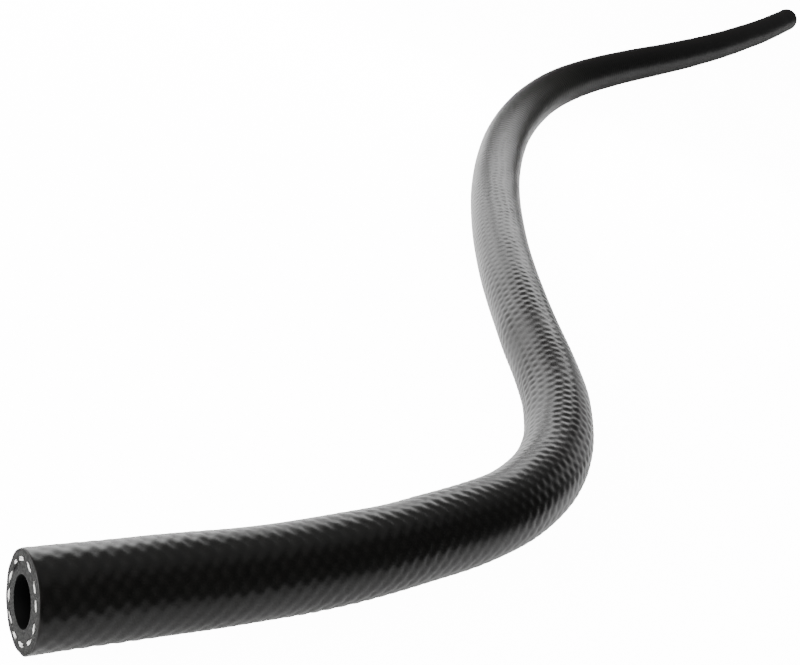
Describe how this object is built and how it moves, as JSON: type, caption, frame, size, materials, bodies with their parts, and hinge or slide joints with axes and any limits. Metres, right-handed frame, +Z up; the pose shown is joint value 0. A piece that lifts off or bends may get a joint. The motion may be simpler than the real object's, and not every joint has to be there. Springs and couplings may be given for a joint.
{
  "type": "fuel hose",
  "caption": "Cut length of flexible rubber fuel hose with a braided yarn layer between its inner tube and its cover, lying in a loose curve on the floor.",
  "frame": {"origin": "on the floor, in the middle of the footprint of the lying hose", "axes": "+Z up from the floor; the near end's face looks along -X and its bore runs in along +X; +Y towards the far end's side"},
  "size_m": [0.5496, 0.3983, 0.0127],
  "materials": {
    "inner_tube_rubber": "matt cut rubber",
    "polyester_yarn": "bright white yarn ends",
    "cover_rubber": "satin black rubber with the braid's fine ridges"
  },
  "bodies": {
    "root": {"inner_tube": "inner_tube_rubber", "yarn_braid": "polyester_yarn", "outer_cover": "cover_rubber"}
  },
  "joints": []
}
